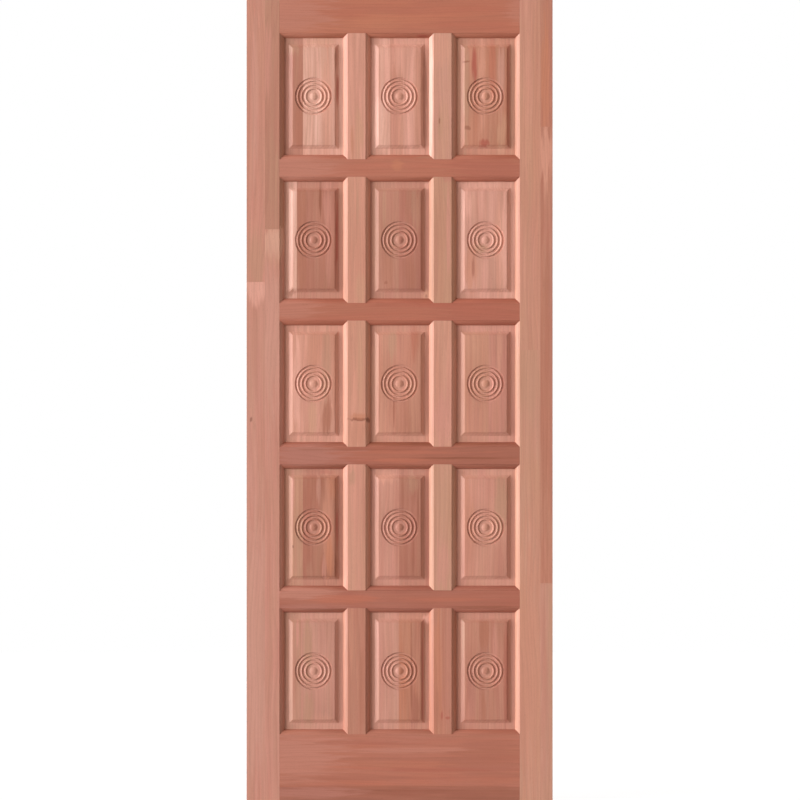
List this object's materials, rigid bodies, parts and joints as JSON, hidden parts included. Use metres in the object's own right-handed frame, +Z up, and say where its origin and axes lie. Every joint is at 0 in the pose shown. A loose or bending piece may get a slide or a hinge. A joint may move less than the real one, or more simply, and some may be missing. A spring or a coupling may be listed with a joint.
{
  "type": "panelled wooden door leaf",
  "caption": "Bare timber door leaf with raised panels in a moulded grid of stiles, rails and mullions, each panel turned with a roundel of concentric beads.",
  "frame": {"origin": "middle of the bottom edge, halfway through the thickness", "axes": "+X right across the leaf as the shown face is looked at, +Y towards the other face, +Z up"},
  "size_m": [0.8, 0.04, 2.1],
  "materials": {
    "stile_timber": "bare sanded timber, pink-tan, upright grain",
    "rail_timber": "bare sanded timber, redder, grain across the door",
    "foot_strip_timber": "bare sanded timber, darker, grain across the door",
    "mullion_timber": "bare sanded timber, pale pink, upright grain",
    "panel_timber": "bare sanded timber, upright grain, tone varies from board to board",
    "wedge_timber": "bare timber, dark, grain along the wedge"
  },
  "bodies": {
    "root": {"bottom_rail_board": "rail_timber", "bottom_rail_foot": "foot_strip_timber", "cross_rail_1": "rail_timber", "cross_rail_2": "rail_timber", "cross_rail_3": "rail_timber", "cross_rail_4": "rail_timber", "left_stile_inner_lower": "stile_timber", "left_stile_inner_upper": "stile_timber", "left_stile_outer_lower": "stile_timber", "left_stile_outer_upper": "stile_timber", "mullion_row1_1": "mullion_timber", "mullion_row1_2": "mullion_timber", "mullion_row2_1": "mullion_timber", "mullion_row2_2": "mullion_timber", "mullion_row3_1": "mullion_timber", "mullion_row3_2": "mullion_timber", "mullion_row4_1": "mullion_timber", "mullion_row4_2": "mullion_timber", "mullion_row5_1": "mullion_timber", "mullion_row5_2": "mullion_timber", "panel_row1_1_left_board": "panel_timber", "panel_row1_1_right_board": "panel_timber", "panel_row1_2_left_board": "panel_timber", "panel_row1_2_middle_board": "panel_timber", "panel_row1_2_right_board": "panel_timber", "panel_row1_3": "panel_timber", "panel_row2_1_left_board": "panel_timber", "panel_row2_1_right_board": "panel_timber", "panel_row2_2_left_board": "panel_timber", "panel_row2_2_right_board": "panel_timber", "panel_row2_3": "panel_timber", "panel_row3_1": "panel_timber", "panel_row3_2": "panel_timber", "panel_row3_3_left_board": "panel_timber", "panel_row3_3_right_board": "panel_timber", "panel_row4_1_left_board": "panel_timber", "panel_row4_1_right_board": "panel_timber", "panel_row4_2_left_board": "panel_timber", "panel_row4_2_right_board": "panel_timber", "panel_row4_3": "panel_timber", "panel_row5_1_left_board": "panel_timber", "panel_row5_1_right_board": "panel_timber", "panel_row5_2_left_board": "panel_timber", "panel_row5_2_middle_board": "panel_timber", "panel_row5_2_right_board": "panel_timber", "panel_row5_3_left_board": "panel_timber", "panel_row5_3_middle_board": "panel_timber", "panel_row5_3_right_board": "panel_timber", "right_stile_inner_lower": "stile_timber", "right_stile_inner_upper": "stile_timber", "right_stile_outer_lower": "stile_timber", "right_stile_outer_middle": "stile_timber", "right_stile_outer_upper": "stile_timber", "tenon_wedges": "wedge_timber", "top_rail": "rail_timber"}
  },
  "joints": []
}
